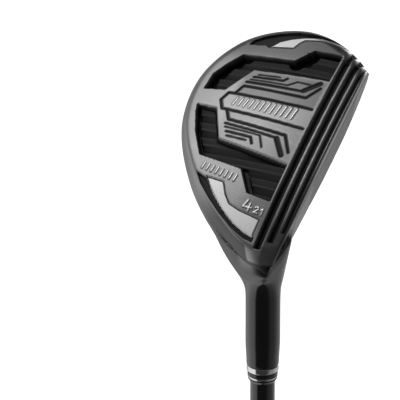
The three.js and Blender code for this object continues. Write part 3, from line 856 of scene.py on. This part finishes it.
def ring_profile(node, corner, taper):
    """Closed section of a ring inside its solid's box: quarter-round outer corners, and a
    straight side that is narrower toward the butt by the taper."""
    low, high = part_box(node)
    outer, bottom, top = high[0], low[2], high[2]
    a = np.linspace(0, np.pi / 2, 7)
    t = np.linspace(0, 1, 9)[1:-1]
    lower = zip(outer - taper - corner + corner * np.sin(a), bottom + corner - corner * np.cos(a))
    side = zip(outer - taper + taper * t, bottom + corner + (top - bottom - 2 * corner) * t)
    upper = zip(outer - corner + corner * np.cos(a), top - corner + corner * np.sin(a))
    return [(RING_BORE, bottom), *lower, *side, *upper, (RING_BORE, top), (RING_BORE, bottom)]


def chrome():
    """Polished plating: nearly a mirror, with hairline wear round the ring."""
    finish = Finish("polished_ring", Metallic=1.0)
    hair = finish.noise(2400, 3, 0.6, (0.05, 0.05, 1))
    smear = finish.noise(240, 3)
    finish.set({"Base_Color": finish.blend(hair, (0.86, 0.86, 0.87), 0.93),
                "Roughness": 0.05 + 0.07 * hair + 0.04 * smear})
    finish.bump(hair, 0.00001, 0.3)
    return finish.material


plating = chrome()
ferrule_black = gloss_black("ferrule_black")
for node, corner, taper, material, slot in (
        ("ferrule_wide_ring", 0.00035, 0.0, plating, "ring_chrome"),
        ("ferrule_band", 0.0002, 0.0, ferrule_black, "ferrule_black"),
        ("ferrule_thin_ring", 0.00025, 0.0001, plating, "ring_chrome"),
        ("ferrule_taper", 0.0002, 0.0006, ferrule_black, "ferrule_black")):
    ring = turned(node + "_fine", ring_profile(node, corner, taper))
    ring.data.materials.append(material)
    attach(ring, "root")
    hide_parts(node)


# ---- shaft ----
# Carbon fibre rolled on a mandrel, ground to a taper, painted black and clear-coated. A band of
# plain printed dashes and two fine rings sit where makers put their graphics.
shaft_low, shaft_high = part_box("shaft")
TIP_RADIUS = 0.0047
PARALLEL_BUTT, PARALLEL_TIP = 0.060, 0.110
WALL = 0.0013
DASHES_FROM, DASHES_TO = 0.52, 0.64
DASH_HALF_PITCH = 0.006
RINGS_AT = (0.5, 0.66)


def shaft_profile():
    """Straight butt, long even taper, straight tip, then back up the bore."""
    butt, tip = shaft_low[2], shaft_high[2]
    start, end = butt + PARALLEL_BUTT, tip - PARALLEL_TIP
    heights = np.concatenate([np.linspace(butt, start, 8), np.linspace(start, end, 160)[1:],
                              np.linspace(end, tip, 30)[1:]])
    radii = np.interp(heights, [start, end], [shaft_high[0], TIP_RADIUS])
    outside = list(zip(radii, heights))
    inside = [(r - WALL, z) for r, z in outside[::-1]]
    return outside + inside + outside[:1]


def shaft_finish():
    """Black lacquer under a clear coat. The rings are bands of height; the dashes repeat along
    the height within a band, on one side, and slope with the angle round the shaft."""
    finish = Finish("shaft_lacquer", Metallic=0.0, Coat_Roughness=0.02, Coat_IOR=1.5)
    where = finish.place()
    x, y, z = (finish.node("SeparateXYZ", {}, {0: where}, output=k) for k in range(3))
    peel = finish.noise(300, 2)
    rub = finish.ramp(finish.noise(700, 5, 0.7, (1, 1, 0.05)), 0.60, 0.75)
    turn = finish.node("Math", {"operation": "ARCTAN2"}, {0: y, 1: x})
    dash_height = finish.node("Math", {"operation": "PINGPONG"}, {0: z - DASHES_FROM, 1: DASH_HALF_PITCH})

    def band(low, high, edge):
        """1 between two heights along the shaft."""
        return finish.ramp(z, low, low + edge) - finish.ramp(z, high, high + edge)

    on_side = finish.ramp(turn * turn, 0.36, 0.34)
    dash = band(DASHES_FROM - 0.0002, DASHES_TO - 0.0002, 0.0004) * on_side
    ink = dash * finish.ramp(dash_height + 0.0007 * turn, 0.0036, 0.0034)
    for at in RINGS_AT:
        ink = ink + band(at - 0.0002, at + 0.0012, 0.0002)
    base = finish.blend(peel, (0.004, 0.004, 0.005), (0.008, 0.008, 0.009))
    finish.set({"Base_Color": finish.blend(ink, base, (0.55, 0.56, 0.58)), "Metallic": 0.6 * ink,
                "Roughness": 0.14 + 0.05 * peel + 0.08 * rub + 0.1 * ink, "Coat_Weight": 0.95 - 0.25 * rub})
    finish.bump(peel, 0.00003, 0.2)
    return finish.material


shaft = turned("shaft_tube", shaft_profile(), 96)
shaft.data.materials.append(shaft_finish())
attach(shaft, "root")
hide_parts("shaft")


# ---- tip plug and grip tape ----
# A turned brass plug sits in the shaft's tip, and paper-backed tape lies under the grip. Neither
# shows on the finished club, so their solids are kept and only finished.
def hidden_finish(name, dark, light, metallic, rough, scale):
    """A grain that mixes a dark and a light tone and roughens a little with it."""
    finish = Finish(name, Metallic=metallic)
    grain = finish.noise(scale, 4)
    finish.set({"Base_Color": finish.blend(grain, dark, light), "Roughness": rough + 0.15 * grain})
    finish.bump(grain, 0.00005, 0.4)
    return finish.material


brass = hidden_finish("turned_brass", (0.5, 0.33, 0.12), (0.66, 0.46, 0.18), 1.0, 0.25, 900)
paper = hidden_finish("paper_tape", (0.62, 0.54, 0.33), (0.74, 0.66, 0.44), 0.0, 0.75, 1200)
for node, material in (("tip_plug", brass), ("grip_tape", paper)):
    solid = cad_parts[node]
    solid.data.materials.clear()
    solid.data.materials.append(material)


# ---- grip ----
# A moulded rubber sleeve is slid over the tape. Its tread is rows of small diamonds cut by a plain
# collar at the mouth and by panels of fine lines, and a flat cap with a vent hole closes the butt.
DIAMONDS = 36
DIAMOND_HEIGHT = 0.0052
# The grip's outline: fractions of its length from the butt, and millimetres inside its widest.
STATIONS = np.array([0, 0.0025, 0.036, 0.106, 0.196, 0.252, 0.2597, 0.2637]) / 0.2637
NARROWER = np.array([0.7, 0.1, 1.0, 2.3, 3.6, 4.6, 5.2, 5.6])


def grip_surface(around=288, rows=340):
    """Round by height. The outside follows the taper; the tread sinks a diamond lattice where two
    families of helical grooves cross. Both ends turn in to the bore."""
    low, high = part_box("grip_sleeve")
    z0, z1 = low[2], high[2]
    z = z0 + (z1 - z0) * np.linspace(0, 1, rows)[:, None]
    angle = np.linspace(0, 2 * np.pi, around, endpoint=False)[None, :]
    r = np.interp(z, z0 + STATIONS * (z1 - z0), high[0] - NARROWER * MM)
    kernel = np.hanning(21)[:, None]
    padded = np.concatenate([np.repeat(r[:1], 10, 0), r, np.repeat(r[-1:], 10, 0)])
    eased = sum(kernel[i] * padded[i:i + rows] for i in range(21)) / kernel.sum()
    edge = np.minimum(z - z0, z1 - z)
    r = np.where(edge > 0.006, eased, r + (eased - r) * smooth(edge, 0.001, 0.006))
    height, turn = (z - z0) / DIAMOND_HEIGHT, DIAMONDS * angle / (2 * np.pi)
    cut = np.maximum(*(smooth(np.abs(way % 1 - 0.5), 0.36, 0.46) for way in (height + turn, height - turn)))
    lines = smooth(np.abs(2 * height % 1 - 0.5), 0.30, 0.42)
    panel = smooth(np.abs(np.sin(angle)), 0.93, 0.97)
    tread = cut * (1 - panel) + lines * panel
    zone = smooth(z, z0 + 0.012, z0 + 0.014) * smooth(z, z1 - 0.016, z1 - 0.018)
    ring = sum(smooth(np.abs(z - at), 0.0011, 0.0006) for at in (z1 - 0.012, z0 + 0.008))
    r = r - 0.00035 * tread * zone - 0.0003 * ring
    groove = tread * zone + ring
    r = np.concatenate([np.full((1, around), 0.0084), r, np.full((1, around), 0.0078)])
    z = np.concatenate([z[:1], z, z[-1:]]) + 0 * angle
    groove = np.concatenate([groove[:1], groove, groove[-1:]])
    return np.stack([r * np.cos(angle), r * np.sin(angle), z], axis=-1), groove


def grip_rubber():
    """Matt rubber: a fine stipple, dust held in the tread and the crests rubbed darker."""
    finish = Finish("grip_rubber", Metallic=0.0, Specular_IOR_Level=0.35)
    stipple = finish.noise(2600, 4, 0.7)
    cloud = finish.noise(45, 4)
    groove = finish.mark("groove")
    base = finish.blend(cloud, 0.018, (0.030, 0.030, 0.029))
    base = finish.blend(0.5 * groove, base, (0.06, 0.058, 0.055))
    finish.set({"Base_Color": base, "Roughness": 0.62 + 0.2 * stipple + 0.06 * cloud})
    finish.bump(stipple, 0.00006, 0.6)
    return finish.material


rubber = grip_rubber()
points, groove = grip_surface()
grip = skin("grip", points, wrap=True, lid=False, marks={"groove": groove})
grip.data.materials.append(rubber)
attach(grip, "root")
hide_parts("grip_sleeve")


VENT_RADIUS = 0.0016
CAP_CORNER = 0.0016


def cap_profile():
    """A shallow disc with a rounded outer edge, two fine rings in its end and the vent hole."""
    outer, _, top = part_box("grip_cap")[1]
    r = np.linspace(VENT_RADIUS, outer - CAP_CORNER, 46)
    dip = 0.0003 * smooth(np.abs(r - 0.0085), 0.0007, 0.0003)
    dip = dip + 0.0003 * smooth(np.abs(r - 0.0045), 0.0006, 0.0003)
    a = np.linspace(0, np.pi / 2, 9)[1:]
    corner = zip(outer - CAP_CORNER + CAP_CORNER * np.sin(a), CAP_CORNER - CAP_CORNER * np.cos(a))
    return [*zip(r, dip), *corner, (outer, top), (VENT_RADIUS, top), (VENT_RADIUS, dip[0])]


cap = turned("grip_end_cap", cap_profile(), 144)
cap.data.materials.append(rubber)
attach(cap, "root")
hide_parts("grip_cap")


# ---- room, light and camera ----
# A plain pale floor, one soft box over the sole, and a light tent round the club that the camera
# does not see: its dim front and pale sides give the gloss and plating their contrast.
VIEW_AZIMUTH = np.radians(-63.5)
VIEW_ELEVATION = np.radians(23.0)
VIEW_DISTANCE = 2.0
FRAME_WIDTH = 0.15
FRAME_RIGHT, FRAME_UP = -0.023775, 0.005625
back = Vector((np.sin(VIEW_AZIMUTH) * np.cos(VIEW_ELEVATION),
               -np.cos(VIEW_AZIMUTH) * np.cos(VIEW_ELEVATION), np.sin(VIEW_ELEVATION)))
right = Vector((0, 0, 1)).cross(back).normalized()
up = back.cross(right)
ground_point = Vector((0, 0, GROUND))

camera_data = bpy.data.cameras.new("camera")
camera_data.sensor_width = 36
camera_data.lens = camera_data.sensor_width * VIEW_DISTANCE / FRAME_WIDTH
camera_data.clip_end = 200
camera = placed("camera", camera_data)
place = ground_point + back * VIEW_DISTANCE + right * FRAME_RIGHT + up * FRAME_UP
turn = Matrix((right, up, back)).transposed().to_4x4()
camera.matrix_world = Matrix.Translation(place) @ turn
bpy.context.scene.camera = camera


floor_mesh = bpy.data.meshes.new("floor")
floor_corners = [(-60, -60, -0.001), (60, -60, -0.001), (60, 60, -0.001), (-60, 60, -0.001)]
floor_mesh.from_pydata(floor_corners, [], [(0, 1, 2, 3)])
floor = placed("floor", floor_mesh)
floor_white = Finish("floor_white", Roughness=0.9, Specular_IOR_Level=0.1, Emission_Strength=0.95,
                     Base_Color=0.86, Emission_Color=1.0)
floor_mesh.materials.append(floor_white.material)
floor.visible_glossy = False

SOFT_BOX = (0.114, 0.452, 0.885)
KEY_DISTANCE = 1.5
TENT_RADIUS = 4.5
TENT_CENTRE = (0, 0, 0.9)


def tent_surface(across=192, rows=96):
    """A sphere round the club by azimuth from the camera and elevation. Its brightness is a plain
    room's: a pale panel each side, a dim front where the viewer stands, a card off the toe and
    one soft box over the sole, both of them bells on the angle from their middle."""
    turn = np.linspace(-np.pi, np.pi, across, endpoint=False)[None, :]
    lean = np.linspace(-np.pi / 2, np.pi / 2, rows)[:, None]
    side, lift = np.degrees(turn) + 0 * lean, np.degrees(lean) + 0 * turn
    flat_back = np.array([back.x, back.y]) / np.hypot(back.x, back.y)
    flat_right = np.array([right.x, right.y])
    unit = [np.cos(lean) * (np.cos(turn) * flat_back[k] + np.sin(turn) * flat_right[k]) for k in (0, 1)]
    unit = np.stack([*unit, np.sin(lean) + 0 * turn], axis=-1)
    low_zone = smooth(lift, 50, 25)
    left = 0.75 * smooth(side, -46, -60) * (1 - 0.55 * smooth(side, -112, -150))
    under = smooth(lift, 6, -8)
    glow = 0.03 + left + under * (smooth(side, 26, 64) * 0.17 + smooth(side, 70, 120) * 0.22)
    glow = low_zone * glow + (1 - low_zone) * 0.12
    toe_card = np.exp(-0.5 * ((side - 158) / 15) ** 2 - 0.5 * ((lift - 3) / 8) ** 2)
    glow = glow + 1.7 * toe_card
    box = np.degrees(np.arccos(np.clip(unit @ np.array(SOFT_BOX), -1, 1)))
    glow = glow + 1.35 * np.exp(-0.5 * (box / 8.5) ** 2)
    return unit * TENT_RADIUS + np.array(TENT_CENTRE), glow


points, glow = tent_surface()
tent = skin("tent", points, wrap=True, lid=False, marks={"glow": glow})
tent.visible_camera = False
tent.visible_shadow = False
tent_cloth = Finish("tent_cloth", Roughness=1.0, Specular_IOR_Level=0.0, Emission_Strength=1.0,
                    Base_Color=0.0)
glow = tent_cloth.mark("glow")
lit = tent_cloth.node("CombineColor", {}, {0: glow, 1: glow, 2: glow})
tent_cloth.set({"Emission_Color": lit})
tent.data.materials.append(tent_cloth.material)
for finish in (tent_cloth, floor_white):
    finish.material.cycles.emission_sampling = "NONE"

key = bpy.data.lights.new("key", "AREA")
key.shape = "RECTANGLE"
key.size = key.size_y = 0.4
key.energy = 0.6
lamp = placed("key", key)
toward = Vector(SOFT_BOX)
lamp.location = ground_point + toward.normalized() * KEY_DISTANCE
lamp.rotation_euler = toward.to_track_quat("Z", "Y").to_euler()

world = bpy.data.worlds.new("studio")
world.use_nodes = True
world.node_tree.nodes["Background"].inputs["Color"].default_value = (1, 1, 1, 1)
world.node_tree.nodes["Background"].inputs["Strength"].default_value = 1.0
bpy.context.scene.world = world
bpy.context.scene.view_settings.view_transform = "Standard"
